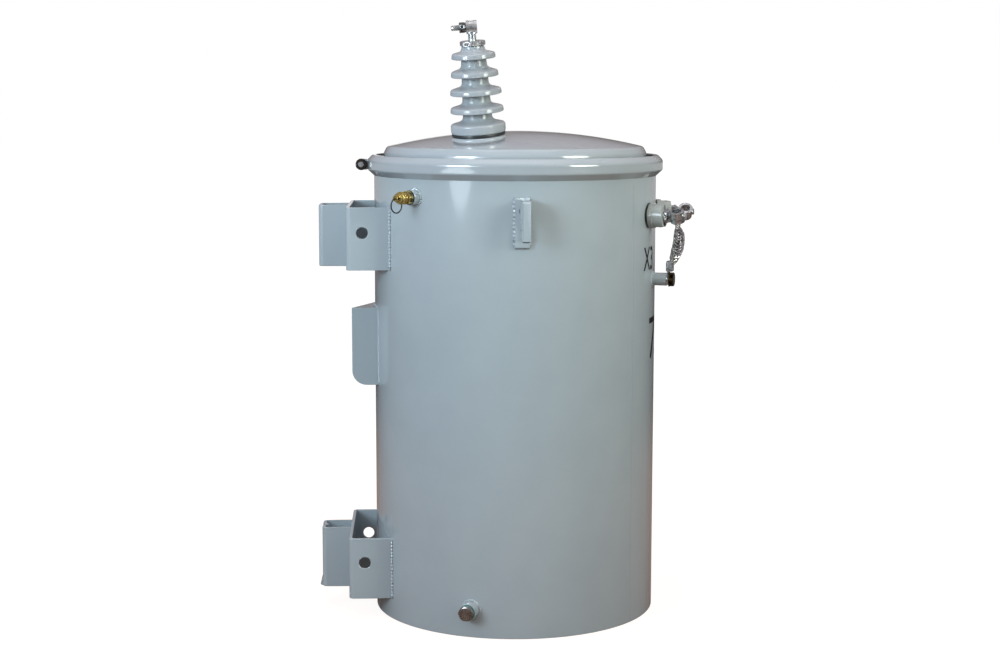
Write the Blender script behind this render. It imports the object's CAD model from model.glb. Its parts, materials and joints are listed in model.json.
# %% [markdown]
# # A pole mounted transformer
# This notebook dresses a steel tank of oil that hangs on a utility pole. The solids arrive
# already sized and placed, so every step here is about what the eye sees: rounded edges,
# weld beads, threads, glazes and paints. Sizes are written in millimetres and shapes are
# scaled to metres once, at the end of each helper.

# %% Load the frame
import json
from math import asin, copysign, cos, degrees, pi, radians, sin, sqrt
from random import Random

import bmesh
import bpy
from mathutils import Matrix, Vector


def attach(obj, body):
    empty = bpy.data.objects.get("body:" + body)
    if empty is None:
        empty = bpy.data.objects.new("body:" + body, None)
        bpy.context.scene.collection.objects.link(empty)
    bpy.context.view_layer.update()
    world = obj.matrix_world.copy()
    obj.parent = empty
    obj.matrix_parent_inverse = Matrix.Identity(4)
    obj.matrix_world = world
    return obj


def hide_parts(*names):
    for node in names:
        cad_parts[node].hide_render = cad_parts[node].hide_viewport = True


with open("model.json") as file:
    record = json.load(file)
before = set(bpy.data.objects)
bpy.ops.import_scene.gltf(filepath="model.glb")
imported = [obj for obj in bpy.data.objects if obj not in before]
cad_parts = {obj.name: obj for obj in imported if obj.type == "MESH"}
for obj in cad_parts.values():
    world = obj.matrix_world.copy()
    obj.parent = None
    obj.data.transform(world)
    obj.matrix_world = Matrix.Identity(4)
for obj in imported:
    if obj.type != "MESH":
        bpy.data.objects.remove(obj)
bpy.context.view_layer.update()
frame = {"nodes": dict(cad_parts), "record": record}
nodes = frame["nodes"]


def add_object(name, data):
    """New object in the scene, at the origin."""
    piece = bpy.data.objects.new(name, data)
    bpy.context.scene.collection.objects.link(piece)
    return piece


# %% [markdown]
# ## The camera
# The camera comes first, because every finish is judged through it. It stands a little over
# three metres in front of the tank at chest height, turned a few degrees off the front and
# tilted down, with a slightly long lens so that the tank's sides stay nearly upright.

# %% Camera
CAMERA_PLACE = (-0.1605, -3.2756, 0.9316)
CAMERA_DOWN = 7.491
CAMERA_TURN = -2.3387
CAMERA_ROLL = 0.064
LENS = 65.16

camera_data = bpy.data.cameras.new("camera")
camera_data.lens = LENS
camera_data.sensor_width = 36.0
camera = add_object("camera", camera_data)
turn = Matrix.Rotation(radians(CAMERA_TURN), 4, "Z")
tilt = Matrix.Rotation(radians(90 - CAMERA_DOWN), 4, "X")
roll = Matrix.Rotation(radians(CAMERA_ROLL), 4, "Z")
camera.matrix_world = Matrix.Translation(CAMERA_PLACE) @ turn @ tilt @ roll
bpy.context.scene.camera = camera
bpy.context.scene.view_settings.view_transform = "Standard"
print("camera at", CAMERA_PLACE)

# %% [markdown]
# ## The studio
# A product picture of a pale, glossy thing needs big soft lamps. A wide oval one stands at the
# left with its lower edge a little under the lid, so that the tank mirrors only a drop of it.
# The one at the right stands higher and is mirrored by the lid's step and the band alone. A
# lamp's spread narrows its beam, which keeps the foot of the tank darker than its shoulder.


# %% Lamps
def lamp(
    name, azimuth, height, distance, size, power, aim_height, colour, spread=180, shape="RECTANGLE"
):
    """Soft lamp; azimuth is measured round the object from the front, spread narrows its beam."""
    data = bpy.data.lights.new(name, "AREA")
    data.shape = shape
    data.size, data.size_y = size
    data.energy = power
    data.color = colour
    data.spread = radians(spread)
    place = Vector((sin(radians(azimuth)) * distance, -cos(radians(azimuth)) * distance, height))
    aim = Vector((0, 0, aim_height)) - place
    turned = aim.to_track_quat("-Z", "Y").to_matrix().to_4x4()
    add_object(name, data).matrix_world = Matrix.Translation(place) @ turned


lamp("key", -45, 1.35, 2.8, (0.9, 0.9), 5.5, 1.0, (0.83, 1.02, 1.13), spread=62)
lamp("key_rim", -45, 1.273, 2.82, (1.85, 1.44), 19.5, 0.8, (0.89, 1, 1.09), shape="ELLIPSE")
lamp("fill", 50, 1.45, 2.8, (1.15, 1.25), 3.65, 0.72, (0.97, 1.03, 0.90), spread=40)
lamp("overhead", 0, 3.0, 0.5, (2.0, 2.0), 8, 0.9, (1, 0.96, 0.95))

# %% [markdown]
# The floor, the world and the finishes are all drawn with nodes. These helpers add one node
# at a time, and give each input a plain value or the output of another node.


# %% Helpers for nodes
def add_node(tree, kind, inputs=None, **settings):
    """New node of a kind, with its settings made before its inputs are filled."""
    node = tree.nodes.new("ShaderNode" + kind)
    for name, value in settings.items():
        setattr(node, name, value)
    for socket, value in (inputs or {}).items():
        if isinstance(value, bpy.types.NodeSocket):
            tree.links.new(value, node.inputs[socket])
        else:
            node.inputs[socket].default_value = value
    return node


def ranged(tree, value, start, end, low, high, curve="SMOOTHSTEP"):
    """Runs from low to high while a value runs from start to end."""
    inputs = {"Value": value, "From Min": start, "From Max": end, "To Min": low, "To Max": high}
    return add_node(tree, "MapRange", inputs, interpolation_type=curve).outputs[0]


def maths(tree, operation, first, second):
    return add_node(tree, "Math", {0: first, 1: second}, operation=operation).outputs[0]


def blended(tree, share, first, second):
    """Mix of two colours; each is a colour or the output of another node."""
    first, second = ((*c, 1) if isinstance(c, tuple) else c for c in (first, second))
    inputs = {"Factor": share, 6: first, 7: second}
    return add_node(tree, "Mix", inputs, data_type="RGBA").outputs[2]


def only_when_seen(tree):
    """1 for the camera's rays, reflections and glass, 0 for the light that falls on the object."""
    rays = add_node(tree, "LightPath").outputs
    seen = maths(tree, "MAXIMUM", rays["Is Camera Ray"], rays["Is Glossy Ray"])
    return maths(tree, "MAXIMUM", seen, rays["Is Transmission Ray"])


# %% [markdown]
# The floor is warm paper near the tank, whose foot it tints, and dark further off, because
# that is what the tank's edges mirror. The world shows plain white to the eye; mirrors see
# that white straight behind the object and a dim room with a paler ceiling everywhere else,
# which gives metal its dark lines.

# %% Floor
FLOOR_HALF = 30.0
NEAR_PAPER = (0.20, 0.149, 0.117)
FAR_PAPER = (0.06, 0.06, 0.06)
STRAIGHT_BEHIND = (0.994, 0.9995)

floor_mesh = bpy.data.meshes.new("floor")
shape = bmesh.new()
bmesh.ops.create_grid(shape, x_segments=1, y_segments=1, size=FLOOR_HALF)
shape.to_mesh(floor_mesh)
shape.free()
floor = add_object("floor", floor_mesh)
floor_finish = bpy.data.materials.new("floor_paper")
floor_finish.use_nodes = True
paper = floor_finish.node_tree
paper.nodes.clear()
place = add_node(paper, "TexCoord").outputs["Object"]
away = add_node(paper, "VectorMath", {0: place}, operation="LENGTH").outputs["Value"]
facing = add_node(paper, "VectorMath", {0: place}, operation="NORMALIZE").outputs[0]
sides = add_node(paper, "SeparateXYZ", {0: facing}).outputs
tone = blended(paper, ranged(paper, away, 1.0, 2.6, 0, 1), NEAR_PAPER, FAR_PAPER)
matt = add_node(paper, "BsdfDiffuse", {"Color": tone}).outputs[0]
behind = ranged(paper, sides["Y"], *STRAIGHT_BEHIND, 0.02, 1)
mirrored_part = maths(paper, "MAXIMUM", behind, ranged(paper, away, 3, 12, 0, 0.35))
camera_ray = add_node(paper, "LightPath").outputs["Is Camera Ray"]
seen_part = maths(paper, "MAXIMUM", mirrored_part, camera_ray)
shown_part = maths(paper, "MULTIPLY", ranged(paper, away, 0.3, 2.2, 0.9, 1), seen_part)
strength = maths(paper, "MULTIPLY", shown_part, only_when_seen(paper))
glow = add_node(paper, "Emission", {"Strength": strength}).outputs[0]
both = add_node(paper, "AddShader", {0: matt, 1: glow}).outputs[0]
add_node(paper, "OutputMaterial", {"Surface": both})
floor_mesh.materials.append(floor_finish)

# %% World
WHITE = (1, 1, 1)
world = bpy.data.worlds.new("studio")
bpy.context.scene.world = world
world.use_nodes = True
sky = world.node_tree
sky.nodes.clear()
direction = add_node(sky, "TexCoord").outputs["Generated"]
split = add_node(sky, "SeparateXYZ", {0: direction}).outputs
high_up = ranged(sky, split["Z"], -0.05, 1.1, 0, 1)
sky_tint = blended(sky, high_up, (0.10, 0.08, 0.065), (1.45, 1.28, 1.32))
over_horizon = ranged(sky, split["Z"], 0.0, 0.3, 0, 1)
ceiling = blended(sky, over_horizon, (0.15, 0.136, 0.13), (0.32, 0.295, 0.305))
room_tint = blended(sky, ranged(sky, split["Y"], *STRAIGHT_BEHIND, 0, 1), ceiling, WHITE)
tints = (sky_tint, room_tint, (*WHITE, 1))
lit, mirrored, shown = (add_node(sky, "Background", {"Color": c}).outputs[0] for c in tints)
camera_ray = add_node(sky, "LightPath").outputs["Is Camera Ray"]
room = add_node(sky, "MixShader", {0: camera_ray, 1: mirrored, 2: shown}).outputs[0]
blend = add_node(sky, "MixShader", {0: only_when_seen(sky), 1: lit, 2: room}).outputs[0]
add_node(sky, "OutputWorld", {"Surface": blend})
print("world of", len(sky.nodes), "nodes")

# %% [markdown]
# ## Finishes
# Every finish is built from nodes, so it has no picture behind it and works at any distance.
# The helper below gives a surface three kinds of life: a slow drift of colour, a drift of
# roughness, and a bump that is either the orange peel of sprayed enamel or the grain of cast
# metal. Patterns are placed by Object coordinates, which are metres on this part.

# %% Helper for a finish
NOISE_RANGE = (0.3, 0.7)
finishes = {}


def noise_field(tree, scale, detail):
    """Grey noise in Object coordinates; scale is in cycles a metre."""
    place = add_node(tree, "TexCoord").outputs["Object"]
    inputs = {"Vector": place, "Scale": scale, "Detail": detail}
    return add_node(tree, "TexNoise", inputs).outputs["Fac"]


def finish(
    name, colour, drift, roughness, metallic=0.0, bumps=(), specular=0.5, drift_scale=6.0,
    coat=(0.0, 0.03),
):
    """Material whose colour runs between two tones and whose roughness runs between two values.

    A bump is a noise's scale, detail, strength and depth; a coat is a glassy top layer's weight
    and roughness, which also takes light away from a paint's grazing edges.
    """
    material = finishes[name] = bpy.data.materials.new(name)
    material.use_nodes = True
    tree = material.node_tree
    surface = tree.nodes["Principled BSDF"].inputs
    slow = ranged(tree, noise_field(tree, drift_scale, 3.0), *NOISE_RANGE, 0, 1, "LINEAR")
    fine = ranged(tree, noise_field(tree, drift_scale * 9, 4.0), *NOISE_RANGE, *roughness, "LINEAR")
    tree.links.new(blended(tree, slow, colour, drift), surface["Base Color"])
    tree.links.new(fine, surface["Roughness"])
    surface["Metallic"].default_value = metallic
    surface["Specular IOR Level"].default_value = specular
    surface["Coat Weight"].default_value, surface["Coat Roughness"].default_value = coat
    below = {}
    for scale, detail, strength, depth in bumps:
        height = noise_field(tree, scale, detail)
        below = {"Strength": strength, "Distance": depth, "Height": height} | below
        below = {"Normal": add_node(tree, "Bump", below).outputs["Normal"]}
    if below:
        tree.links.new(below["Normal"], surface["Normal"])


# %% [markdown]
# ### Enamel, glaze, rubber and metals
# The tank, cover and brackets wear the same sprayed enamel: smooth and bright, with the soft
# ripple that painters call orange peel. Porcelain has a deeper, wetter gloss. The fittings
# are tinned, plated or bare, and are told apart by colour and by how rough they are.

# %% The finishes
PEEL = ((220, 1.0, 0.10, 0.0004),)
PLATE = ((140, 2.0, 0.10, 0.0004), (420, 2.0, 0.12, 0.0003))
GRAIN = ((900, 3.0, 0.2, 0.0002),)
CAST = ((1600, 3.0, 0.15, 0.0001),)
ROUGH_CAST = ((700, 4.0, 0.35, 0.0003),)
LACQUER = (1.0, 0.06)

for name, colour, drift, roughness, bumps, drift_scale in (
    ("tank_enamel", (0.326, 0.393, 0.430), (0.346, 0.413, 0.449), (0.11, 0.14), PEEL, 13),
    ("cover_enamel", (0.322, 0.374, 0.408), (0.340, 0.390, 0.424), (0.10, 0.13), PEEL, 13),
    ("hanger_enamel", (0.326, 0.400, 0.440), (0.338, 0.412, 0.452), (0.16, 0.21), PLATE, 5),
):
    finish(name, colour, drift, roughness, bumps=bumps, drift_scale=drift_scale, coat=LACQUER)
finish("grey_glaze", (0.325, 0.366, 0.398), (0.342, 0.380, 0.408), (0.04, 0.06), coat=(0.15, 0.03))
finish("lv_glaze", (0.335, 0.370, 0.362), (0.352, 0.384, 0.376), (0.18, 0.25))
finish("black_rubber", (0.010, 0.013, 0.014), (0.022, 0.027, 0.030), (0.35, 0.5), bumps=GRAIN)
finish("teal_rubber", (0.010, 0.15, 0.115), (0.02, 0.20, 0.16), (0.35, 0.5), bumps=GRAIN)
for name, colour, drift, roughness, metallic, bumps, drift_scale in (
    ("tinned", (0.87, 0.90, 0.92), (0.44, 0.455, 0.465), (0.18, 0.34), 0.88, CAST, 130),
    ("lv_tin", (0.83, 0.87, 0.90), (0.19, 0.20, 0.21), (0.15, 0.30), 0.92, ROUGH_CAST, 190),
    ("zinc", (0.34, 0.34, 0.34), (0.10, 0.10, 0.10), (0.24, 0.38), 1.0, CAST, 150),
    ("dark_steel", (0.035, 0.032, 0.03), (0.10, 0.09, 0.08), (0.26, 0.40), 1.0, CAST, 90),
    ("ring_steel", (0.025, 0.027, 0.03), (0.06, 0.06, 0.065), (0.22, 0.34), 1.0, (), 90),
    ("brass", (0.74, 0.59, 0.24), (0.50, 0.38, 0.13), (0.18, 0.32), 0.92, CAST, 60),
    ("bronze", (0.015, 0.013, 0.010), (0.12, 0.085, 0.04), (0.2, 0.36), 1.0, CAST, 120),
    ("braid_tin", (0.95, 0.95, 0.96), (0.20, 0.20, 0.20), (0.12, 0.26), 1.0, (), 260),
    ("plug_steel", (0.42, 0.40, 0.395), (0.23, 0.205, 0.195), (0.18, 0.30), 1.0, CAST, 90),
):
    finish(name, colour, drift, roughness, metallic, bumps, drift_scale=drift_scale)
finish("marking_ink", (0.008, 0.008, 0.009), (0.014, 0.014, 0.015), (0.5, 0.6), specular=0.04)
finish("strap_shadow", (0.012, 0.012, 0.012), (0.02, 0.02, 0.02), (0.5, 0.7), 1.0)
finish("core_steel", (0.10, 0.10, 0.11), (0.13, 0.12, 0.12), (0.5, 0.7))
print(len(bpy.data.materials), "materials")

# %% Plain solids get their finishes
FINISH_OF_SLOT = {
    "tank_paint": "tank_enamel", "cover_paint": "cover_enamel", "hanger_paint": "hanger_enamel",
    "porcelain": "grey_glaze", "lv_porcelain": "lv_glaze", "gasket_rubber": "black_rubber",
    "seal_green": "teal_rubber", "tinned_metal": "tinned", "nut_steel": "dark_steel",
    "ring_steel": "ring_steel", "valve_brass": "brass", "bolt_bronze": "bronze", "braid": "braid_tin",
    "core_steel": "core_steel", "plug_steel": "plug_steel",
}


def painted(mesh, slot, other=None):
    """Gives a mesh the finish of its slot, or another one."""
    mesh.materials.clear()
    mesh.materials.append(finishes[other or FINISH_OF_SLOT[slot]])


SLOT_OF_NODE = {part["node"]: part["material_slot"] for part in frame["record"]["subparts"]}
for node, slot in SLOT_OF_NODE.items():
    painted(nodes[node].data, slot)
print("slots", sorted(set(SLOT_OF_NODE.values())))

# %% [markdown]
# ## Helpers for shapes
# Most of this object is turned or rolled, so the main helper draws half of a section, rounds
# its corners and spins it. The others place a shape on the tank's side, extrude an outline,
# sweep a bead along a line, and round the sharp edges of a solid that is already right.

# %% Helpers for places
MM = 0.001
UPRIGHT = Matrix.Scale(MM, 4)
UP = Vector((0, 0, 1))


def outward(bearing):
    """Direction out of the tank; bearings run from the front towards the bushing side."""
    return Vector((sin(radians(bearing)), -cos(radians(bearing)), 0))


def spot(bearing, distance, height):
    """Point at a distance from the tank's axis."""
    return outward(bearing) * distance + Vector((0, 0, height))


def squared(direction, along):
    """Direction made square to another one."""
    return (direction - along * direction.dot(along)).normalized()


def turned_to(across, along):
    """Rotation that takes X across and Z along."""
    return Matrix((across, along.cross(across), along)).transposed().to_4x4()


def frame_of(origin, along, across):
    """Matrix with Z along a direction and X across it; origin in millimetres, result in metres."""
    z = along.normalized()
    return UPRIGHT @ Matrix.Translation(origin) @ turned_to(squared(across, z), z)


def on_tank(bearing, height, distance):
    """Frame on the tank's side: X runs round it, Y is up and Z points out."""
    return frame_of(spot(bearing, distance, height), outward(bearing), UP.cross(outward(bearing)))


def disc(middle, across, along, half_across, half_through):
    """Matrix of a small oval disc that faces along a line."""
    size = Matrix.Diagonal((half_across, half_through, 1, 1))
    return Matrix.Translation(middle) @ turned_to(across, along) @ size


# %% Helpers for shapes
ROUND_STEPS = 64


def finished(
    name, shape, stands_for=(), place=UPRIGHT, other=None, slot=None, body="root", sharp=32
):
    """Makes the object from a bmesh in millimetres, shades it and ties it to its body.

    A piece takes the slot of the node that it stands for, unless it gives its own.
    """
    slot = slot or SLOT_OF_NODE[stands_for[0]]
    bmesh.ops.transform(shape, matrix=place, verts=shape.verts)
    bmesh.ops.recalc_face_normals(shape, faces=shape.faces)
    mesh = bpy.data.meshes.new(name)
    shape.to_mesh(mesh)
    shape.free()
    mesh.shade_smooth()
    mesh.set_sharp_from_angle(angle=radians(sharp))
    painted(mesh, slot, other)
    piece = add_object(name, mesh)
    piece.modifiers.new("flats", "WEIGHTED_NORMAL").keep_sharp = True
    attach(piece, body)
    if stands_for:
        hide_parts(*stands_for)
    print(name, len(mesh.polygons), "faces")


def bevelled(shape, geom, width, segments=2, affect="EDGES"):
    bmesh.ops.bevel(
        shape, geom=geom, affect=affect, offset=width, offset_type="OFFSET", segments=segments,
        profile=0.5, material=-1, clamp_overlap=True,
    )


def sharp_edges(shape, angle):
    between = [e for e in shape.edges if len(e.link_faces) == 2]
    return [e for e in between if e.calc_face_angle(0) > radians(angle)]


def grown(shape, face, keep=False):
    """Extrudes one face on the spot and gives the new one."""
    geometry = bmesh.ops.extrude_face_region(shape, geom=[face], use_keep_orig=keep)["geom"]
    return next(g for g in geometry if isinstance(g, bmesh.types.BMFace))


def section(points, closed=True):
    """Wire of (radius, height, rounding) corners in the XZ plane, each corner rounded."""
    shape = bmesh.new()
    corners = [shape.verts.new((p[0], 0, p[1])) for p in points]
    pairs = list(zip(corners, corners[1:]))
    if closed:
        pairs.append((corners[-1], corners[0]))
    for pair in pairs:
        shape.edges.new(pair)
    for corner, point in zip(corners, points):
        if len(point) > 2 and point[2] > 0:
            bevelled(shape, [corner], point[2], 5, "VERTICES")
    return shape


def spun(points, closed=True, steps=ROUND_STEPS, start=0, angle=360):
    """Turns a rounded section about the Z axis."""
    shape = section(points, closed)
    turned = Matrix.Rotation(radians(start), 3, "Z")
    bmesh.ops.rotate(shape, verts=shape.verts, cent=(0, 0, 0), matrix=turned)
    full = angle >= 360
    bmesh.ops.spin(
        shape, geom=shape.verts[:] + shape.edges[:], cent=(0, 0, 0), axis=(0, 0, 1),
        angle=radians(angle), steps=steps, use_merge=full, use_duplicate=False,
    )
    bmesh.ops.remove_doubles(shape, verts=shape.verts, dist=0.0005)
    if not full:
        bmesh.ops.holes_fill(shape, edges=[e for e in shape.edges if e.is_boundary], sides=0)
    return shape


def prism(outline, low, high, rounding, segments=2):
    """Extrudes a flat outline of (x, y) points and rounds its edges."""
    shape = bmesh.new()
    face = shape.faces.new([shape.verts.new((x, y, low)) for x, y in outline])
    bmesh.ops.translate(shape, vec=(0, 0, high - low), verts=grown(shape, face, keep=True).verts)
    bmesh.ops.recalc_face_normals(shape, faces=shape.faces)
    bevelled(shape, sharp_edges(shape, 35), rounding, segments)
    return shape


def joined(*shapes):
    """Puts several shapes in one."""
    whole = bmesh.new()
    for shape in shapes:
        mesh = bpy.data.meshes.new("part")
        shape.to_mesh(mesh)
        shape.free()
        whole.from_mesh(mesh)
        bpy.data.meshes.remove(mesh)
    return whole


def moved(shape, matrix):
    bmesh.ops.transform(shape, matrix=matrix, verts=shape.verts)
    return shape


def swept(stations, sides=8):
    """Carries a small disc through a list of matrices, extruding as it goes."""
    shape = bmesh.new()
    bmesh.ops.create_circle(shape, cap_ends=True, radius=1, segments=sides, matrix=stations[0])
    face = shape.faces[:][0]
    for number, (previous, station) in enumerate(zip(stations, stations[1:])):
        face = grown(shape, face, keep=number == 0)
        bmesh.ops.transform(shape, matrix=station @ previous.inverted(), verts=face.verts)
    bmesh.ops.recalc_face_normals(shape, faces=shape.faces)
    return shape


def thread(radius, low, high, pitch=1.8, depth=0.9):
    """Ridges of a screw thread, as turned rings."""
    points = [(0, low)]
    height = low
    while height < high - pitch:
        points += [(radius - depth, height), (radius, height + pitch / 2)]
        height += pitch
    points += [(radius - depth, high), (0, high)]
    return spun(points, closed=False, steps=32)


def softened(node, width, segments=2, heavier=None, heavier_width=0.0):
    """Copy of a solid with its sharp edges rounded, in millimetres.

    Edges that heavier() picks, from their middle point, get a larger rounding first.
    """
    shape = bmesh.new()
    shape.from_mesh(nodes[node].data)
    bmesh.ops.scale(shape, vec=(1000, 1000, 1000), verts=shape.verts)
    bmesh.ops.remove_doubles(shape, verts=shape.verts, dist=0.01)
    bmesh.ops.dissolve_limit(shape, angle_limit=radians(0.5), verts=shape.verts, edges=shape.edges)
    if heavier:
        picked = [e for e in sharp_edges(shape, 40) if heavier((e.verts[0].co + e.verts[1].co) / 2)]
        bevelled(shape, picked, heavier_width, 4)
    bevelled(shape, sharp_edges(shape, 40), width, segments)
    return shape


def rounded(name, node, width, segments=2, place=UPRIGHT, other=None, **heavy):
    """Piece that is a solid with its edges rounded."""
    finished(name, softened(node, width, segments, **heavy), [node], place, other)


# %% [markdown]
# ## The tank
# The tank is a rolled sheet closed by one upright seam, with a bottom welded a little way up
# inside it, so it stands on a thin round rim. It could be a cylinder with a modifier, but a
# spun section gives the rim its rounding and the flange under the clamp band in one go.

# %% Tank wall
TANK_RADIUS = 254.0
TANK_INNER = 251.0
RIM_HEIGHT = 812.0
FLANGE_RADIUS = 259.0
FLANGE_LOW = 807.0
TANK_STEPS = 256

wall = spun([
    (TANK_INNER, 0, 0.8), (TANK_RADIUS, 0, 1.2), (TANK_RADIUS, 400), (TANK_RADIUS, FLANGE_LOW),
    (FLANGE_RADIUS, FLANGE_LOW, 1), (FLANGE_RADIUS, RIM_HEIGHT, 1), (TANK_INNER, RIM_HEIGHT, 1),
], steps=TANK_STEPS)
finished("tank_shell", wall, ["tank_wall"])

# %% [markdown]
# ## Welds
# Everything on the tank's side is welded to it. A weld is a row of frozen puddles, so its
# bead is a swept disc whose size rises and falls every few millimetres, with some wander.

# %% Helper for welds
PUDDLE = 3.4
STATIONS_A_PUDDLE = 4
weld_random = Random(7)


def skin(bearing, sideways, height, lift=0.0):
    """Point on the tank's side, some way round from a bearing."""
    return spot(bearing + degrees(sideways / TANK_RADIUS), TANK_RADIUS + lift, height)


def upright_line(x, y, low, high):
    return [Vector((x, y, low)), Vector((x, y, high))]


def ring_on_tank(bearing, height, radius, count=48):
    """Line where a round boss meets the tank."""
    angles = [2 * pi * number / count for number in range(count)]
    return [skin(bearing, radius * cos(angle), height + radius * sin(angle)) for angle in angles]


def resampled(points, gap, closed):
    """Points at an even gap along a line of points."""
    line = list(points) + ([points[0]] if closed else [])
    result = []
    left = 0.0
    for start, end in zip(line, line[1:]):
        length = (end - start).length
        along = left
        while along < length:
            result.append(start.lerp(end, along / length))
            along += gap
        left = along - length
    result.append(line[-1])
    return result


def heading(line, number):
    """Direction of a line of points at one of them."""
    return (line[min(number + 1, len(line) - 1)] - line[max(number - 1, 0)]).normalized()


def weld_shape(points, width, rise, closed=False, puddle=PUDDLE, facing=None, rough=0.15):
    """Bead along a line; width lies along the surface and rise stands out of it."""
    line = resampled(points, puddle / STATIONS_A_PUDDLE, closed)
    stations = []
    wander = 0.0
    for number, point in enumerate(line):
        if number % STATIONS_A_PUDDLE == 0:
            wander = weld_random.uniform(-rough / 2, rough / 2)
        swell = 1 + rough * cos(2 * pi * number / STATIONS_A_PUDDLE) + wander
        ends = 1.0 if closed else min(1.0, 0.55 + 0.25 * min(number, len(line) - 1 - number))
        along = heading(line, number)
        up = squared(facing or Vector((point.x, point.y, 0)).normalized(), along)
        stations.append(disc(point, up, along, rise * swell * ends, width * swell * ends))
    return swept(stations)


def welded(name, shape, other=None):
    finished(name, shape, other=other, slot="tank_paint", sharp=70)


def welded_pad(name, bearing, height, profile, bead_radius, bead_width, bead_rise):
    """Turned boss on the tank's side with a bead round its foot.

    Its profile is a bore, a radius, a length and a rounding.
    """
    bore, radius, length, rounding = profile
    corners = [(bore, -1.5), (radius, -1.5), (radius, length, rounding), (bore, length)]
    place = on_tank(bearing, height, TANK_RADIUS)
    finished(f"{name}_pad", spun(corners, closed=bore > 0), [f"{name}_boss"], place)
    ring = ring_on_tank(bearing, height, bead_radius)
    welded(f"{name}_weld", weld_shape(ring, bead_width, bead_rise, closed=True))


# %% [markdown]
# The long seam runs up the tank between the front and the bushing side. It is ground nearly
# flush, so it is a very flat bead. The bottom is welded all round from below.

# %% Seam and bottom weld
SEAM_BEARING = 51.0
BOTTOM_UNDERSIDE = 16.0
seam_line = [spot(SEAM_BEARING, TANK_RADIUS, height) for height in (3, 780)]
welded("tank_seam", weld_shape(seam_line, 1.9, 0.65, puddle=11, rough=0.07))
bottom_ring = [spot(a, TANK_INNER - 0.5, BOTTOM_UNDERSIDE) for a in range(0, 360, 5)]
welded("bottom_weld", weld_shape(bottom_ring, 3.0, 3.0, closed=True, puddle=8))

# %% [markdown]
# ## Cover, gasket and clamp band
# The cover is one pressing: a flat rim, a raised step and a shallow dome. A band of folded
# sheet grips the cover's rim and the tank's flange together, and one bolt at the pole side
# draws its ends up. Rolling leaves the band's face a quarter of a millimetre hollow, which is
# enough to break the lamp's reflection into a thin line above and a soft lens below.

# %% Cover
COVER_EDGE = 256.5
COVER_LOW = 815.0
SHEET = 3.0
STEP_RADIUS = 236.4
STEP_TOP = 230.6
STEP_BEND = 828.5
DOME_BASE = 838.0
DOME_RISE = 29.0
DOME_RADIUS = (STEP_RADIUS**2 + DOME_RISE**2) / (2 * DOME_RISE)
DOME_CENTRE = DOME_BASE + DOME_RISE - DOME_RADIUS


def dome(distance, depth=0.0):
    """Height of the dome at a distance from the middle, and a depth under its top face."""
    return DOME_CENTRE + sqrt((DOME_RADIUS - depth) ** 2 - distance**2)


upper_skin = [(r, dome(r)) for r in range(0, 221, 20)]
lower_skin = [(r, dome(r, SHEET)) for r in range(220, -1, -20)]
rim_top = COVER_LOW + SHEET
cover_step = [
    (STEP_TOP, dome(STEP_TOP), 3.6), (STEP_RADIUS, STEP_BEND, 3), (STEP_RADIUS, rim_top, 2.5),
    (COVER_EDGE, rim_top, 1), (COVER_EDGE, COVER_LOW, 1), (STEP_RADIUS - SHEET, COVER_LOW, 2),
    (STEP_RADIUS - SHEET, STEP_BEND - 0.8, 2), (STEP_TOP - 2.6, dome(STEP_TOP - 2.6, SHEET), 2),
]
cover = spun(upper_skin + cover_step + lower_skin, closed=False, steps=TANK_STEPS)
finished("cover_pressing", cover, ["cover"], sharp=50)

# %% Clamp band
BAND_OUTER = 266.0
BAND_GAP = 12.0
half_gap = degrees(asin(BAND_GAP / 2 / BAND_OUTER))
band = spun([
    (250, 824.7, 0.9), (257, 824.7, 1.6), (BAND_OUTER, 815.7, 3.6), (BAND_OUTER - 0.25, 807.4, 4),
    (BAND_OUTER, 798.7, 2.0), (TANK_RADIUS, 787.7, 0.9), (TANK_RADIUS, 791.1, 0.5),
    (263.5, 799.8, 1.6), (263.5, 814.7, 1.6), (256, 822.2, 1.2), (250, 822.2, 0.8),
], steps=TANK_STEPS, start=180 + half_gap, angle=360 - 2 * half_gap)
finished("band", band, ["clamp_band"], slot="cover_paint")

# %% [markdown]
# ## Nuts and threads
# A real nut is a hexagon cut by a cone, which leaves a bright curved edge over each flat. The
# helper splits the sides of the outline, extrudes it, lowers each top corner by how far it
# lies outside the flats, and draws the last ring in to a circle.

# %% Helper for nuts
SPLITS = 6


def polygon(sides, across_flats, turn):
    """Corners of a regular outline, from its size across flats."""
    radius = across_flats / 2 / cos(pi / sides)
    angles = [2 * pi * k / sides + radians(turn) for k in range(sides)]
    return [(radius * cos(angle), radius * sin(angle)) for angle in angles]


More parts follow.
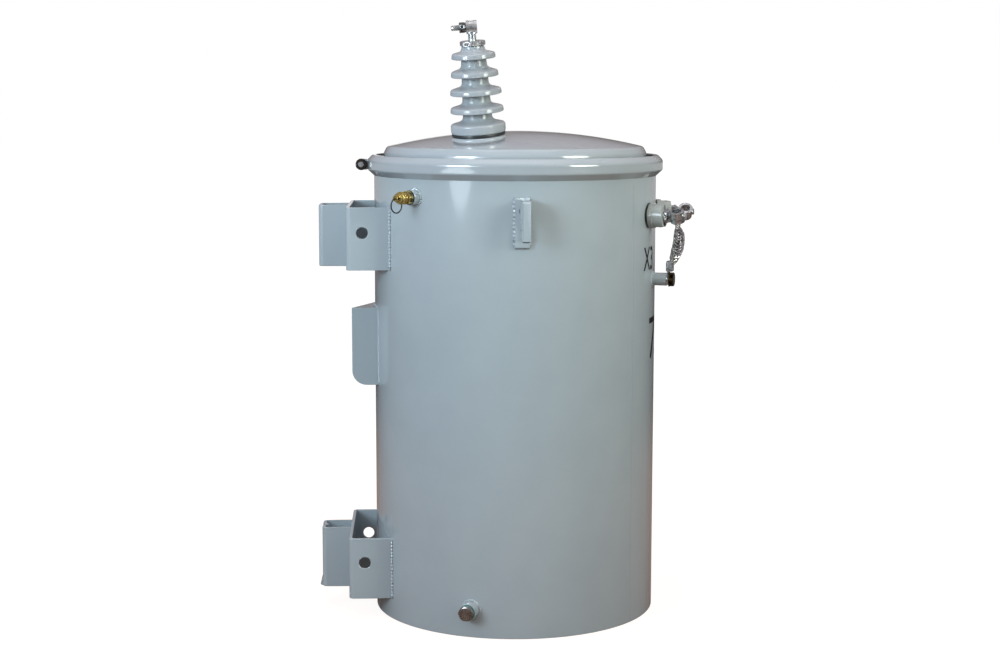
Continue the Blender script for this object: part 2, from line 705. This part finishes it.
def nut_shape(
    across_flats, low, high, sides=6, turn=0.0, both_ends=True, slope=0.55, widest=100.0
):
    """Nut cut by a cone on top, and below too if both ends show; widest cuts its corners back."""
    inner = across_flats / 2
    corners = polygon(sides, across_flats, turn)
    outline = []
    for (x, y), (to_x, to_y) in zip(corners, corners[1:] + corners[:1]):
        splits = range(SPLITS)
        outline += [(x + (to_x - x) * k / SPLITS, y + (to_y - y) * k / SPLITS) for k in splits]
    worn = [Vector(point) * min(1.0, widest / Vector(point).length) for point in outline]
    shape = bmesh.new()
    middle = (low + high) / 2
    face = shape.faces.new([shape.verts.new((point.x, point.y, middle)) for point in worn])
    shape.normal_update()
    if face.normal.z < 0:
        face.normal_flip()
    for way, end, wanted in ((1, high, True), (-1, low, both_ends)):
        top = grown(shape, face, keep=way == 1)
        for vert in top.verts:
            outside = max(0.0, Vector((vert.co.x, vert.co.y)).length - inner) if wanted else 0.0
            vert.co.z = end - way * outside * slope
        if wanted:
            for vert in grown(shape, top).verts:
                flat = Vector((vert.co.x, vert.co.y))
                flat *= inner * 0.95 / flat.length
                vert.co = (flat.x, flat.y, end)
    bmesh.ops.recalc_face_normals(shape, faces=shape.faces)
    edges = sharp_edges(shape, 25)
    upright = [e for e in edges if abs((e.verts[0].co - e.verts[1].co).normalized().z) > 0.95]
    bevelled(shape, upright, across_flats * 0.02, 1)
    return shape


def washer_shape(inner, outer, low, high):
    corners = [(inner, low), (outer, low, 0.3), (outer, high, 0.5), (inner, high, 0.3)]
    return spun(corners, steps=48)


# %% [markdown]
# The clamp's bolt lies across the pole side. From the front its nut is seen end-on, dark and
# round cornered, with the bright end of the bolt in the middle.

# %% Clamp ears and bolt
BAND_MIDDLE = 807.2
BOLT_X = -276.5
BOLT_RADIUS = 6.35
EAR_FACE = 11.0
clamp_place = frame_of(Vector((BOLT_X, 0, BAND_MIDDLE)), Vector((0, -1, 0)), Vector((1, 0, 0)))
finished("band_ears", softened("clamp_ears", 0.9), ["clamp_ears"], slot="cover_paint")
bolt = joined(
    thread(BOLT_RADIUS - 0.9, -EAR_FACE, EAR_FACE + 14.2, pitch=1.95),
    nut_shape(18, -EAR_FACE - 10, -EAR_FACE),
)
finished("band_bolt", bolt, ["clamp_bolt"], clamp_place, "tinned", sharp=20)
nut = joined(
    nut_shape(17.6, EAR_FACE + 2.2, EAR_FACE + 11.4, slope=0.7),
    washer_shape(6.6, 10.4, EAR_FACE, EAR_FACE + 2.3),
)
finished("band_nut", nut, ["clamp_nut"], clamp_place, sharp=20)

# %% [markdown]
# ## High voltage bushing
# The bushing is a stack of glazed sheds turned in one piece. Each shed has a flat underside,
# a round rim and a top that curves up into the neck, so that rain runs off. It leans outwards
# because it stands square on the dome. All of that is one section, spun once.

# %% Where the bushing stands
HV_BEARING = -32.0
HV_OUT = 129.0
HV_SEAT_RISE = 4.5
hv_lean = asin(HV_OUT / DOME_RADIUS)
hv_axis = outward(HV_BEARING) * sin(hv_lean) + Vector((0, 0, cos(hv_lean)))
hv_foot = spot(HV_BEARING, HV_OUT, dome(HV_OUT))
hv_place = frame_of(hv_foot + hv_axis * HV_SEAT_RISE, hv_axis, UP.cross(outward(HV_BEARING)))
print("bushing leans", round(degrees(hv_lean), 2), "degrees")

# %% Seat and gasket
HV_STEPS = 128
seat = spun([
    (20.4, -1.6), (45.4, -1.6, 0.6), (48.4, -5.0, 0.7),
    (48.6, -7), (50, -7.6), (50, -9.5), (20.4, -9.5),
], steps=HV_STEPS)
finished("hv_seat_ring", seat, ["hv_seat"], hv_place)
ring = spun([
    (20, -1.6), (46.2, -1.6, 0.6), (46.8, 1.4, 0.8), (46.2, 4.4, 0.6), (20, 4.4),
], steps=HV_STEPS)
finished("hv_gasket_ring", ring, ["hv_gasket"], hv_place)

# %% Porcelain
SHED_RADII = (46.6, 44.9, 41.5, 38.4)
SHED_FIRST = 43.8
SHED_PITCH = 30.8
HALF_RIM = 4.5
RIM_DRAFT = 1.15
NECK_LOW = 25.2
NECK_TOP = 21.0
HV_LENGTH = 153.0
points = [(8.2, -40), (20, -40), (20, 4.0), (46.2, 4.0, 0.8), (47.8, 6.2, 1.6)]
points += [(47.6, 19.5, 3.2), (30.2, 24.2, 3.5), (NECK_LOW + 0.6, 28.5, 2.5)]
neck_loss = (NECK_LOW - NECK_TOP) / len(SHED_RADII)
for number, shed_radius in enumerate(SHED_RADII):
    middle = SHED_FIRST + number * SHED_PITCH
    below = NECK_LOW - number * neck_loss
    above = below - neck_loss
    low, high = middle - HALF_RIM, middle + HALF_RIM
    points += [(below - 0.45, low - 0.8, 2.4), (shed_radius - 5, low - 0.2, 1.0)]
    points += [(shed_radius, low, 2.0), (shed_radius - RIM_DRAFT, high, 2.6)]
    if number < len(SHED_RADII) - 1:
        points += [(above + 4.0, high + 4.9, 2.5), (above + 0.6, high + 8.5, 2.0)]
    else:
        points += [(above + 1.2, high + 3.8, 2.0)]
end = HV_LENGTH - 0.2
points += [(NECK_TOP - 1.0, HV_LENGTH - 3.4, 1.5), (19.4, end, 0.6), (8.2, end)]
finished("hv_bushing", spun(points, steps=HV_STEPS), ["hv_porcelain"], hv_place, sharp=60)

# %% [markdown]
# ### Terminal on top
# A wide octagonal nut holds the bushing's stud. Above it the stud carries an eye with a side
# bolt that clamps the line wire: a dark nut against the eye and a bright threaded end.

# %% Terminal
EYE_DROP = 5.0
EYE_MIDDLE = 190.0 - EYE_DROP
EYE_RIM = 9.5
HALF_EYE = 18.5 / 2
crown = joined(
    nut_shape(41.5, HV_LENGTH + 0.6, HV_LENGTH + 8.6, sides=8, slope=0.7, turn=22.5),
    washer_shape(8, 18.4, HV_LENGTH - 0.2, HV_LENGTH + 0.7),
)
finished("hv_crown_nut", crown, ["hv_cap_nut"], hv_place, sharp=20)
stud = thread(7.35, 140, EYE_MIDDLE - 9, pitch=2.1, depth=1.0)
finished("hv_stud_thread", stud, ["hv_stud"], hv_place)

eye_facing = squared(outward(-90), hv_axis)
eye_centre = hv_foot + hv_axis * (HV_SEAT_RISE + EYE_MIDDLE)
eye_place = frame_of(eye_centre, eye_facing, hv_axis)
lowered = UPRIGHT @ Matrix.Translation(hv_axis * -EYE_DROP)


def rim_of_eye(middle):
    """Picks the outer edges of the eye, which the casting rounds most."""
    from_middle = middle - eye_centre - hv_axis * EYE_DROP
    return (from_middle - eye_facing * from_middle.dot(eye_facing)).length > EYE_RIM


rounded("hv_eye_block", "hv_eye", 0.8, place=lowered, heavier=rim_of_eye, heavier_width=3.4)
BOLT_END = HALF_EYE + 12 + 14
tip = [(0, BOLT_END - 2.6), (4.0, BOLT_END - 2.6), (4.0, BOLT_END, 1.2), (0, BOLT_END)]
side_bolt = joined(
    thread(4.8, 5.5, BOLT_END - 1.2, pitch=1.6, depth=0.7), spun(tip, closed=False, steps=32),
)
finished("hv_side_bolt", side_bolt, place=eye_place, slot="tinned_metal")
side_nut = joined(
    nut_shape(16, HALF_EYE + 2.4, HALF_EYE + 12, turn=15),
    washer_shape(4.9, 8.4, HALF_EYE, HALF_EYE + 2.5),
)
finished("hv_side_nut", side_nut, ["hv_clamp_bolt"], eye_place, "zinc", sharp=20)

# %% [markdown]
# ## Low voltage bushings
# Three short bushings stand in a row on one side. Each has a rubber ring against the tank, a
# glazed flange and body with a slot across its end, a stud with a nut, and a clamp eye. The
# solids already have that shape, so copies of them only need their edges rounded. A fitter
# never leaves three eyes in line, so each copy is turned about its own stud.

# %% Low voltage bushings
LV_HEIGHT = 721.0
LV_BEARINGS = {"x1": 114.5, "x2": 90.0, "x3": 65.5}
SOLID_BODY = 33.0
BODY_END = 28.5
EYE_TURNS = {"x1": 20, "x2": -46, "x3": -64}
EYE_SHIFTS = {"x1": -4.5, "x2": 0.0, "x3": -4.5}


def about_stud(bearing, turn, out=0.0):
    """Turns a bushing's part about its own stud and slides it along, in millimetres."""
    centre = Vector((0, 0, LV_HEIGHT))
    axis = outward(bearing)
    turned = Matrix.Rotation(radians(turn), 4, axis)
    return UPRIGHT @ Matrix.Translation(centre + axis * out) @ turned @ Matrix.Translation(-centre)


for name, bearing in LV_BEARINGS.items():
    place = on_tank(bearing, LV_HEIGHT, TANK_RADIUS)
    ring = spun([(15, -1.8), (22.8, -1.8), (22.8, 3, 1.0), (15, 3)], steps=72)
    finished(f"lv_ring_{name}", ring, [f"lv_gasket_{name}"], place)
    node = f"lv_porcelain_{name}"
    body = softened(node, 1.3, 3)
    for vert in body.verts:
        if vert.co.dot(outward(bearing)) > TANK_RADIUS + 20:
            vert.co -= outward(bearing) * (SOLID_BODY - BODY_END)
    finished(f"lv_body_{name}", body, [node], about_stud(bearing, 90))
    shift = EYE_SHIFTS[name]
    nuts = [thread(6.35, 20, 47 + shift), nut_shape(22, 34.4 + shift, 40 + shift, turn=30)]
    if shift == 0:
        nuts += [nut_shape(22, BODY_END + 0.2, 34.2, turn=50)]
    else:
        nuts += [washer_shape(6.6, 11.6, 32.9 + shift, 34.5 + shift)]
    stud, node = joined(*nuts), f"lv_stud_{name}"
    finished(f"lv_stud_thread_{name}", stud, [node], place, "lv_tin", sharp=20)
    place = about_stud(bearing, EYE_TURNS[name], shift)
    rounded(f"lv_clamp_{name}", f"lv_eye_{name}", 1.1, 3, place, "lv_tin")

# %% [markdown]
# ## Ground strap
# A flat braid of tinned copper runs from the middle bushing to a boss on the tank. A braid is
# two families of strands that wind opposite ways round a flat core and pass over and under
# each other. Each strand is a flat ribbon, swept as a small oval disc, and it is lifted and
# sunk in turn where it crosses the others; a dark core fills the gaps behind them.

# %% Line of the strap
GROUND_BEARING = 72.5
GROUND_HEIGHT = 606.0
BOSS_LENGTH = 26.5
SOLID_BOSS = 23.0
LV_NUT_FACE = 40
LUG_THICKNESS = 3.0
LUG_REACH = 20.0
STRAP_BULGE = 9.0
# Share of the length, width and thickness.
STRAP_SIZES = (
    (0.0, 12.0, 4.6), (0.14, 14.0, 5.6), (0.3, 20.0, 7.4),
    (0.65, 22.0, 7.4), (0.86, 15.5, 6.0), (1.0, 11.4, 4.6),
)
top_bearing = LV_BEARINGS["x2"]
top_out = outward(top_bearing)
foot_out = outward(GROUND_BEARING)
strap_start = spot(top_bearing, TANK_RADIUS + LV_NUT_FACE + LUG_THICKNESS / 2, LV_HEIGHT - LUG_REACH)
strap_end = spot(GROUND_BEARING, TANK_RADIUS + BOSS_LENGTH + 4.6, GROUND_HEIGHT + LUG_REACH + 4)
strap_span = strap_end - strap_start


def eased(value):
    value = min(1.0, max(0.0, value))
    return value * value * (3 - 2 * value)


def strap_middle(share):
    return strap_start + strap_span * share + top_out * STRAP_BULGE * (1 - (2 * share - 1) ** 2)


def strap_station(share):
    """Middle, direction, width direction and half sizes of the braid at a share of its length."""
    along = (strap_middle(min(share + 0.01, 1)) - strap_middle(max(share - 0.01, 0))).normalized()
    turned = (eased(share / 0.28) if share < 0.5 else eased((1 - share) / 0.3)) * pi / 2
    out = top_out if share < 0.5 else foot_out
    across = squared(UP.cross(out) * cos(turned) + out * sin(turned), along)
    for (low, *sizes), (high, *next_sizes) in zip(STRAP_SIZES, STRAP_SIZES[1:]):
        if share <= high:
            part = (share - low) / (high - low)
            halves = [(size + (later - size) * part) / 2 for size, later in zip(sizes, next_sizes)]
            return strap_middle(share), along, across, *halves


# %% Braid
STRANDS = 10
STRAND_RADIUS = 0.85
STRAND_WIDTH = 1.45
WEAVE_LIFT = 0.42
SQUARENESS = 0.62
TURNS = 1.5
STEPS = 64
CORE_STEPS = 24


def braid_point(share, angle, lift):
    """Point on the strap's flat, rounded outline, lifted by how far its strand lies on top."""
    middle, along, across, half_width, half_thick = strap_station(share)
    x, y = (
        copysign(abs(way) ** SQUARENESS, way) * (half - STRAND_RADIUS)
        for way, half in ((cos(angle), half_width), (sin(angle), half_thick))
    )
    return middle + across * (x + lift * cos(angle)) + along.cross(across) * (y + lift * sin(angle))


strands = []
for way in (1, -1):
    for number in range(STRANDS):
        line = []
        for step in range(STEPS + 1):
            share = step / STEPS
            angle = 2 * pi * number / STRANDS + way * TURNS * 2 * pi * share
            crossing = (2 * STRANDS) * TURNS * share + (number if way == 1 else number + 1)
            line.append(braid_point(share, angle, WEAVE_LIFT * sin(pi * crossing)))
        stations = []
        for step, point in enumerate(line):
            along = heading(line, step)
            off = squared(point - strap_station(step / STEPS)[0], along)
            stations.append(disc(point, off, along, STRAND_RADIUS, STRAND_WIDTH))
        strands.append(swept(stations, 6))
finished("strap_strands", joined(*strands), ["ground_strap"])
stations = []
for step in range(CORE_STEPS + 1):
    middle, along, across, half_width, half_thick = strap_station(step / CORE_STEPS)
    stations.append(disc(middle, across, along, half_width - 1.6, max(half_thick - 1.5, 0.6)))
finished("strap_core", swept(stations, 16), other="strap_shadow", slot="braid")

# %% [markdown]
# Each end of the braid is pressed into a flat lug. The lug is a ring and a tongue with a
# rolled sleeve round the strands.


# %% Lugs and ground bolt
def oblong(half_width, start, end):
    """Outline of a rectangle across the Y axis."""
    return [(-half_width, start), (half_width, start), (half_width, end), (-half_width, end)]


def sleeve(name, place, start, end, low, high):
    shape = prism(oblong(8, start, end), low, high, 2.4, 3)
    finished(name, shape, place=place, other="lv_tin", slot="tinned_metal")


moved_out = UPRIGHT @ Matrix.Translation(foot_out * (BOSS_LENGTH - SOLID_BOSS))
rounded("strap_lug_top", "strap_lug_upper", 0.5, other="lv_tin")
rounded("strap_lug_foot", "strap_lug_lower", 0.5, place=moved_out, other="lv_tin")
top_place = on_tank(top_bearing, LV_HEIGHT, TANK_RADIUS + LV_NUT_FACE)
foot_place = on_tank(GROUND_BEARING, GROUND_HEIGHT, TANK_RADIUS + BOSS_LENGTH)
sleeve("strap_sleeve_top", top_place, -14.2, -27, -2.4, LUG_THICKNESS + 4.2)
sleeve("strap_sleeve_foot", foot_place, 14.2, 33, -1.8, LUG_THICKNESS + 8)
HEAD_LOW = BOSS_LENGTH + LUG_THICKNESS
ground_head = joined(
    nut_shape(23.5, HEAD_LOW + 1.6, HEAD_LOW + 9.5, both_ends=False, slope=0.9),
    washer_shape(0.5, 13.2, HEAD_LOW, HEAD_LOW + 1.7),
)
ground_place = on_tank(GROUND_BEARING, GROUND_HEIGHT, TANK_RADIUS)
finished("ground_bolt_head", ground_head, ["ground_bolt"], ground_place, sharp=20)
welded_pad("ground", GROUND_BEARING, GROUND_HEIGHT, (0, 11.5, BOSS_LENGTH, 1.2), 12.2, 2.0, 1.9)

# %% [markdown]
# ## Pressure relief valve
# A brass valve screws into a painted boss at the upper left. Its cap lifts when pressure
# builds up, and a thin split ring lets a line worker pull it by hand. The cap's solid gets two
# turned ridges, which catch the light as bright hoops. The ring is one wire wound twice, so
# it steps sideways once on its way round.

# %% Relief valve
VALVE_BEARING = -45.0
VALVE_HEIGHT = 757.5
valve_place = on_tank(VALVE_BEARING, VALVE_HEIGHT, TANK_RADIUS)
welded_pad("valve", VALVE_BEARING, VALVE_HEIGHT, (0, 13.5, 13, 1.5), 14.4, 2.3, 2.2)
finished("valve_seal", washer_shape(3, 12.5, 13, 14.8), ["valve_washer"], valve_place)
neck = spun([
    (4.6, 20), (8.5, 20), (8.5, 26.2, 0.6), (7.6, 27.0, 0.4),
    (8.5, 27.8, 0.4), (8.5, 29.8, 0.8), (4.6, 29.8),
])
body = joined(nut_shape(22, 14.8, 23.8, turn=10), neck)
finished("valve_hex", body, ["valve_body"], valve_place, sharp=20)
cap = [softened("valve_stem", 0.5)]
for low in (30.4, 34.6):
    ridge = spun([(9.4, low), (10.9, low + 0.2, 0.5), (10.9, low + 1.7, 0.5), (9.4, low + 1.9)])
    cap.append(moved(ridge, UPRIGHT.inverted() @ valve_place))
finished("valve_cap", joined(*cap), ["valve_stem"], body="valve_stem")

# %% Pull ring
RING_RADIUS = 12.5
RING_WIRE = 0.95
RING_HALF_WIRE = 0.62
RING_STEP = 0.45
CROSS_HEIGHT = 44.0
valve_out = outward(VALVE_BEARING)
valve_side = UP.cross(valve_out)
ring_middle = spot(VALVE_BEARING, TANK_RADIUS + CROSS_HEIGHT, VALVE_HEIGHT - RING_RADIUS)
stations = []
for step in range(145):
    angle = radians(90 + step * 5)
    radial = valve_out * cos(angle) + UP * sin(angle)
    way = valve_out * -sin(angle) + UP * cos(angle)
    shift = valve_side * RING_STEP * max(-1, min(1, (step - 72) / 6))
    middle = ring_middle + radial * RING_RADIUS + shift
    stations.append(disc(middle, radial, way, RING_WIRE, RING_HALF_WIRE))
finished("split_ring", swept(stations, 10), ["pull_ring"], body="pull_ring")

# %% [markdown]
# ## Plates welded to the tank
# The lifting lugs, the hangers for the pole and the bracket for a rating plate are cut and
# folded plate. Their solids are right, so rounded copies of them take the paint, and each is
# tied to the tank by its weld. The lugs' welds were laid by hand in a hurry, so their puddles
# are large and uneven. Paint doesn't reach the slits beside the hook plate or the line under
# its end, which stay dark steel.

# %% Lifting lugs
LUG_TOP = 758.5
LUG_LOW = LUG_TOP - 81
LUG_PAD = 7
HALF_PAD = 12.25
HOOK_END = 40
HOOK_PLATE = 5.7
HALF_HOOK_PLATE = 6.35
# Place across the pad, height, width and length of each dark gap.
LUG_GAPS = ((-5.0, 735, 1.2, 7), (-2.2, 704, 1.2, 7), (6.2, LUG_LOW + 7.8, 11.0, 4.2))


def lip_of(bearing):
    """Picks the upper edges of a hook's end."""
    edge = TANK_RADIUS + HOOK_END
    return lambda middle: middle.z > LUG_TOP - 2.7 and middle.dot(outward(bearing)) > edge


for name, bearing in (("front", 0), ("rear", 180)):
    node = f"lifting_lug_{name}"
    rounded(f"lug_{name}", node, 0.9, heavier=lip_of(bearing), heavier_width=3.2)
    corners = oblong(HALF_PAD - 0.6, LUG_LOW + 0.4, LUG_TOP - 0.4)
    pad_line = [skin(bearing, across, height) for across, height in corners]
    welded(f"lug_weld_{name}", weld_shape(pad_line, 3.8, 3.6, closed=True, puddle=7, rough=0.2))
    foot = outward(bearing) * (TANK_RADIUS + LUG_PAD)
    foot += UP.cross(outward(bearing)) * (HOOK_PLATE - HALF_HOOK_PLATE)
    bead = weld_shape(upright_line(foot.x, foot.y, LUG_LOW + 13, LUG_TOP - 1), 2.0, 2.0)
    welded(f"lug_plate_weld_{name}", bead)
    gaps = []
    for across, low, wide, tall in LUG_GAPS:
        pit = prism(oblong(wide / 2, 0, tall), 6.6, 7.5, 0.4)
        gaps.append(moved(pit, Matrix.Translation((across, low - LUG_LOW, 0))))
    place = on_tank(bearing, LUG_LOW, TANK_RADIUS)
    finished(f"lug_gaps_{name}", joined(*gaps), place=place, other="dark_steel", slot="tank_paint")

# %% Hangers and pole channels
HANGER_HEIGHT = 110.0
HANGER_SIDE = 120.4
WEB_X = -301.0
HOLE_X = -272.5
HOLE_UP = 65.5
HANGER_SHIFT = 4.5
CHANNEL_SIDE = 32.2
CHANNEL_WEB = (-343.6, -347.0)
CHANNEL_INNER = 25.5


def pressed_corner(base):
    """Picks the outer edges at the top and foot of a pole channel's web, which the press rounds."""
    def picked(middle):
        at_end = min(abs(middle.z - base), abs(middle.z - base - HANGER_HEIGHT)) < 0.1
        across = abs(middle.y)
        inner_face = abs(middle.x - CHANNEL_WEB[1]) < 0.2 and across < CHANNEL_INNER + 0.1
        inner = inner_face or abs(across - CHANNEL_INNER) < 0.1
        return at_end and middle.x < CHANNEL_WEB[0] and not inner
    return picked


for name, base in (("upper", 626.0), ("lower", 36.0)):
    node = f"{name}_hanger"
    plate = softened(node, 1.5, 3)
    for vert in plate.verts:
        from_hole = Vector((vert.co.x - HOLE_X, vert.co.z - base - HOLE_UP)).length
        if vert.co.y > 90 and from_hole < 14 and name == "upper":
            vert.co.z += HANGER_SHIFT
        elif vert.co.y > 90 and vert.co.z < base + 4:
            vert.co.z -= HANGER_SHIFT
    finished(f"{node}_plate", plate, [node])
    node = f"{name}_pole_channel"
    pressed = pressed_corner(base)
    rounded(f"{name}_pole_plate", node, 0.8, heavier=pressed, heavier_width=4.2)
    beads = []
    for way in (-1, 1):
        side_y = way * HANGER_SIDE
        side_x = -sqrt((TANK_RADIUS + 0.6) ** 2 - side_y**2)
        joint = upright_line(side_x, side_y, base + 0.5, base + HANGER_HEIGHT - 0.5)
        beads.append(weld_shape(joint, 3.5, 2.6, puddle=6))
        joint = upright_line(WEB_X - 0.4, way * CHANNEL_SIDE, base + 6, base + HANGER_HEIGHT - 6)
        beads.append(weld_shape(joint, 2.4, 2.2, facing=Vector((-0.7, way * 0.7, 0))))
    welded(f"{name}_hanger_weld", joined(*beads), "hanger_enamel")

# %% Side bracket
BRACKET_Y = -60.0
BRACKET_LOW = 414.5
BRACKET_TOP = 554.0
rounded("plate_bracket", "side_bracket", 0.7)
joint_x = -sqrt(TANK_RADIUS**2 - BRACKET_Y**2)
front_joint = upright_line(joint_x, BRACKET_Y - 0.6, BRACKET_LOW + 3, BRACKET_TOP - 3)
top_joint = [spot(-bearing, TANK_RADIUS, BRACKET_TOP) for bearing in range(77, 97, 3)]
bead = joined(weld_shape(front_joint, 1.7, 1.6), weld_shape(top_joint, 1.6, 1.6))
welded("bracket_weld", bead, "hanger_enamel")

# %% [markdown]
# A faint round mark low on the pole side is an old pad's outline under the paint. It is a
# bead a third of a millimetre high, so only the light that grazes it shows it.

# %% Round mark under the paint
welded("clip_mark", weld_shape(ring_on_tank(-65, 168, 20), 1.1, 0.35, closed=True, puddle=20))

# %% [markdown]
# ## Drain
# A threaded boss near the foot lets the oil out. Its plug sits on a bright green seal. Many
# spanners have worn its corners off, so the nut helper cuts them back to a circle, and the end
# is drawn in by steps to a low dome.

# %% Drain
DRAIN_BEARING = -20.0
DRAIN_HEIGHT = 49.0
PLUG_FLATS = 25
drain_place = on_tank(DRAIN_BEARING, DRAIN_HEIGHT, TANK_RADIUS)
welded_pad("drain", DRAIN_BEARING, DRAIN_HEIGHT, (9.6, 15.5, 18, 1.6), 16.4, 2.4, 2.2)
finished("drain_ring", washer_shape(9.5, 13.8, 18, 19.6), ["drain_seal"], drain_place)
plug = nut_shape(PLUG_FLATS, 19.6, 28.2, both_ends=False, slope=1.2, widest=13.3)
crown = max(plug.faces, key=lambda f: f.calc_center_median().z)
for share, height in ((0.78, 29.6), (0.5, 29.9), (0.25, 30.05)):
    crown = grown(plug, crown)
    for vert in crown.verts:
        flat = Vector((vert.co.x, vert.co.y)).normalized() * (PLUG_FLATS / 2) * share
        vert.co = (flat.x, flat.y, height)
finished("drain_plug_head", plug, ["drain_plug"], drain_place, sharp=40)

# %% [markdown]
# ## Markings
# The bushings are marked X1, X2 and X3 and the tank carries its size in large figures, as is
# usual on such tanks. The built-in letters are made a mesh, cut into narrow strips and bent
# round the tank a tenth of a millimetre above the paint.

# %% Painted marks
STRIP = 2
INK_LIFT = 0.12


def painted_mark(name, words, bearing, low, high, width, bolder=0.0):
    """Letters wrapped on the tank; width is measured round the tank, bearing is at the middle."""
    curve = bpy.data.curves.new(name, "FONT")
    curve.body = words
    curve.resolution_u = 6
    curve.fill_mode = "FRONT"
    curve.offset = bolder
    text = add_object(name, curve)
    bpy.context.view_layer.update()
    letters = bpy.data.meshes.new_from_object(text)
    bpy.data.objects.remove(text)
    shape = bmesh.new()
    shape.from_mesh(letters)
    bpy.data.meshes.remove(letters)
    xs, ys = ([v.co[axis] for v in shape.verts] for axis in (0, 1))
    wider, taller = width / (max(xs) - min(xs)), (high - low) / (max(ys) - min(ys))
    stretch = Matrix.Diagonal((wider, taller, 1, 1))
    centre = Matrix.Translation((-(max(xs) + min(xs)) / 2, -min(ys), 0))
    moved(shape, Matrix.Translation((0, low, 0)) @ stretch @ centre)
    cut = -width / 2 + STRIP
    while cut < width / 2:
        geometry = shape.verts[:] + shape.edges[:] + shape.faces[:]
        bmesh.ops.bisect_plane(
            shape, geom=geometry, dist=0.0001, plane_co=(cut, 0, 0), plane_no=(1, 0, 0)
        )
        cut += STRIP
    for vert in shape.verts:
        vert.co = skin(bearing, vert.co.x, vert.co.y, INK_LIFT)
    bmesh.ops.scale(shape, vec=(MM, MM, MM), verts=shape.verts)
    mesh = bpy.data.meshes.new(name)
    shape.to_mesh(mesh)
    shape.free()
    mesh.materials.append(finishes["marking_ink"])
    piece = add_object(name, mesh)
    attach(piece, "root")
    print(name, len(mesh.polygons), "faces")


for number, bearing, width in ((3, 65.8, 52), (2, 91.0, 52), (1, 115.0, 44)):
    painted_mark(f"mark_x{number}", f"X{number}", bearing, 624, 666, width, bolder=0.012)
painted_mark("mark_size", "75", 80.6, 463, 538, 118)
